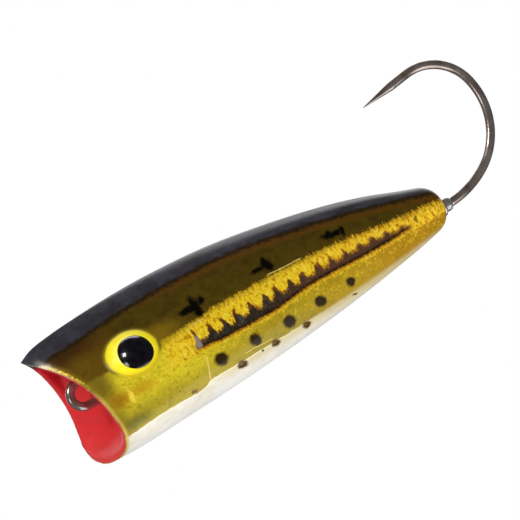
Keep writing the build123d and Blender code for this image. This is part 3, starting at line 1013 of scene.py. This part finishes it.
def eye_finish():
    """Yellow eye, airbrushed to olive round its foot, with a painted highlight in a pale ring by the
    pupil and painted shade on its lower part.
    """
    yellow = Finish("eye_yellow", coat_weight=0.12, coat_roughness=0.25, specular_ior_level=0.2)
    cloud = yellow.noise(0.6, 3)
    grain = yellow.noise(4.0, 2, 4)
    far = eye_distance(yellow) + cloud * 0.08
    colour = yellow.mix(cloud.ramp(-1, 1), rgb(236, 222, 22), rgb(226, 208, 14))
    colour = yellow.paint(
        colour,
        [
            # painted highlight: pale ring next to the pupil, for its wet edge
            (far.ramp(2.7, 2.4) * 0.5, rgb(240, 232, 96)),
            (far.ramp(2.8, 3.6) * 0.5, rgb(208, 188, 6)),
            # painted shade: darker yellow on the lower part of the dome
            (yellow.z.ramp(0.5, -2.4) * 0.5, rgb(206, 176, 16)),
            (far.ramp(3.3, 3.75) * yellow.z.ramp(-1.2, 0.6), rgb(112, 92, 3)),
            (far.ramp(3.3, 3.75) * yellow.z.ramp(0.6, -1.2), rgb(188, 164, 14)),
        ],
    )
    yellow.set("Base Color", yellow.shade(colour, grain * 0.03 + 1.0))
    yellow.set("Roughness", grain * 0.05 + 0.4)
    yellow.bump(cloud + grain * 0.3, 0.01)
    return yellow


def pupil_finish():
    """Black enamel drop with a faint violet cast."""
    black = Finish("pupil_black", coat_weight=1.0, coat_roughness=0.03, roughness=0.2)
    cloud = black.noise(1.2, 3)
    colour = black.mix(cloud.ramp(-1, 1), rgb(4, 3, 6), rgb(14, 11, 20))
    black.set("Base Color", colour)
    black.set("Roughness", cloud * 0.05 + 0.2)
    black.bump(cloud, 0.012)
    return black


def metal_finish(name, dark, light, rough, stretch=(1.0, 1.0, 1.0), scale=2.0):
    """Metal with fine drawn or turned lines and small stains."""
    metal = Finish(name, metallic=0.85)
    lines = metal.noise(scale, 3, 2, stretch)
    stain = metal.noise(0.45, 3, 8)
    metal.set("Base Color", metal.mix((stain + lines * 0.3).ramp(-1.2, 1.2), dark, light))
    metal.set("Roughness", lines * 0.04 + stain * 0.04 + rough)
    metal.bump(lines, 0.004)
    return metal


def plastic_finish():
    """Moulded shell plastic, with flow marks."""
    plastic = Finish("shell_plastic", roughness=0.45)
    flow = plastic.noise(0.3, 4, 2, (0.3, 1.0, 1.0))
    grain = plastic.noise(4.0, 2, 6)
    plastic.set("Base Color", plastic.mix(flow.ramp(-1, 1), rgb(206, 202, 190), rgb(222, 219, 210)))
    plastic.set("Roughness", grain * 0.05 + 0.42)
    plastic.bump(grain, 0.006)
    return plastic


# ---------------------------------------------------------------- studio
def add_camera():
    """Camera ahead of square on to the left flank, level, and rolled so the tail points up."""
    back = Vector((-math.sin(VIEW_YAW), -math.cos(VIEW_YAW), 0))
    right = Vector((math.cos(VIEW_YAW), -math.sin(VIEW_YAW), 0))
    up = Vector((0, 0, 1))
    level = (right, up)
    right = level[0] * math.cos(VIEW_ROLL) - level[1] * math.sin(VIEW_ROLL)
    up = level[0] * math.sin(VIEW_ROLL) + level[1] * math.cos(VIEW_ROLL)
    camera = bpy.data.objects.new("camera", bpy.data.cameras.new("camera"))
    camera.data.lens = camera.data.sensor_width * VIEW_DISTANCE / VIEW_WIDTH
    camera.data.clip_start = 0.01
    turn = Matrix((right, up, back)).transposed().to_4x4()
    camera.matrix_world = Matrix.Translation((Vector(VIEW_CENTRE) + back * VIEW_DISTANCE) * MM) @ turn
    bpy.context.scene.collection.objects.link(camera)
    bpy.context.scene.camera = camera


def add_softbox(name, place, size, watts, gloss=True):
    """Square softbox that faces the middle of the lure; place and size in metres."""
    light = bpy.data.lights.new(name, "AREA")
    light.size = size
    light.energy = watts
    lamp = bpy.data.objects.new(name, light)
    lamp.location = place
    aim = Vector((0.027, 0, 0)) - lamp.location
    lamp.rotation_euler = aim.to_track_quat("-Z", "Y").to_euler()
    lamp.visible_camera = False
    lamp.visible_glossy = gloss
    bpy.context.scene.collection.objects.link(lamp)


def add_floor():
    """Pale round floor, well under the hanging lure, that gloss doesn't reflect."""
    finish = Finish("floor", roughness=0.8)
    cloud = finish.noise(0.01, 2)
    finish.set("Base Color", finish.mix(cloud.ramp(-1, 1), rgb(236, 236, 234), rgb(242, 242, 240)))
    around = np.linspace(0, 2 * math.pi, 65)[:-1]
    flat = np.full(len(around), -FLOOR_DROP)
    points = np.stack([FLOOR_RADIUS * np.cos(around), FLOOR_RADIUS * np.sin(around), flat], axis=-1)
    floor = add_mesh("floor", points, ring_cap(0, len(around)), finish)
    floor.visible_glossy = False


def add_world():
    """White backdrop and soft white light, with a dark room for the gloss to reflect."""
    world = bpy.data.worlds.new("studio")
    world.use_nodes = True
    nodes, links = world.node_tree.nodes, world.node_tree.links
    strength = nodes.new("ShaderNodeMapRange")
    strength.inputs["To Min"].default_value = SKY_STRENGTH
    strength.inputs["To Max"].default_value = ROOM_STRENGTH
    seen = nodes.new("ShaderNodeLightPath")
    white = nodes.new("ShaderNodeMath")
    white.operation = "MAXIMUM"
    links.new(seen.outputs["Is Glossy Ray"], strength.inputs["Value"])
    links.new(seen.outputs["Is Camera Ray"], white.inputs[0])
    links.new(strength.outputs[0], white.inputs[1])
    links.new(white.outputs[0], nodes["Background"].inputs["Strength"])
    nodes["Background"].inputs["Color"].default_value = (1, 1, 1, 1)
    bpy.context.scene.world = world


def add_studio():
    """Soft light from above, below, the front, the nose's side and behind."""
    add_world()
    add_floor()
    add_softbox("key", (-0.5, -0.3, 0.55), 0.2, 2.4)
    add_softbox("flank", (0.15, -0.6, 0.05), 0.3, 0.5, gloss=False)
    add_softbox("low", (0.03, -0.08, -0.19), 0.25, 0.35)
    add_softbox("side", (-0.55, -0.26, 0.0), 0.2, 0.6)
    add_softbox("behind", (0.2, 0.56, 0.3), 0.75, 3.2)
    bpy.context.scene.view_settings.view_transform = "Standard"


# ---------------------------------------------------------------- the popper
def finish_cad_nodes(nodes, metals, plastic):
    """Materials for the CAD pieces that stay as they are, inside the body."""
    steel, brass, ballast = metals
    choices = {"shell": (plastic, "shell_plastic"), "tube": (brass, "brass_tube")}
    choices["weight"] = (ballast, "ballast_metal")
    choices["ball"] = (steel, "ball_steel")
    for name, node in nodes.items():
        for word, (finish, slot) in choices.items():
            if word in name:
                node.data.materials.clear()
                node.data.materials.append(finish.material)


def build():
    """Every visible piece, with its finish."""
    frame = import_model()
    drawn = (0.15, 1, 0.15)
    nickel = metal_finish("black_nickel", rgb(136, 118, 110), rgb(196, 184, 176), 0.22, drawn, 4.0)
    plate = metal_finish("bright_plate", rgb(176, 176, 174), rgb(214, 214, 212), 0.24, (3, 1, 1), 3.0)
    steel = metal_finish("ball_steel", rgb(150, 150, 152), rgb(190, 190, 192), 0.18)
    brass = metal_finish("brass_tube", rgb(176, 136, 60), rgb(204, 166, 84), 0.28, (0.2, 1, 1), 3.0)
    ballast = metal_finish("ballast_metal", rgb(84, 86, 92), rgb(118, 120, 126), 0.5)
    film, red = film_finish(), cup_finish()
    yellow, black = eye_finish(), pupil_finish()
    for seed, side in ((3, "left"), (11, "right")):
        add_film(side, seed, film)
        add_eye(side, yellow)
        add_pupil(side, black)
    add_cup(red)
    add_hook(nickel)
    add_turned("tail_ring", "tail_washer", washer_profile(), plate)
    add_turned("collar", "crimp_collar", collar_profile(), plate)
    finish_cad_nodes(frame["nodes"], (steel, brass, ballast), plastic_finish())
    add_studio()
    add_camera()


build()
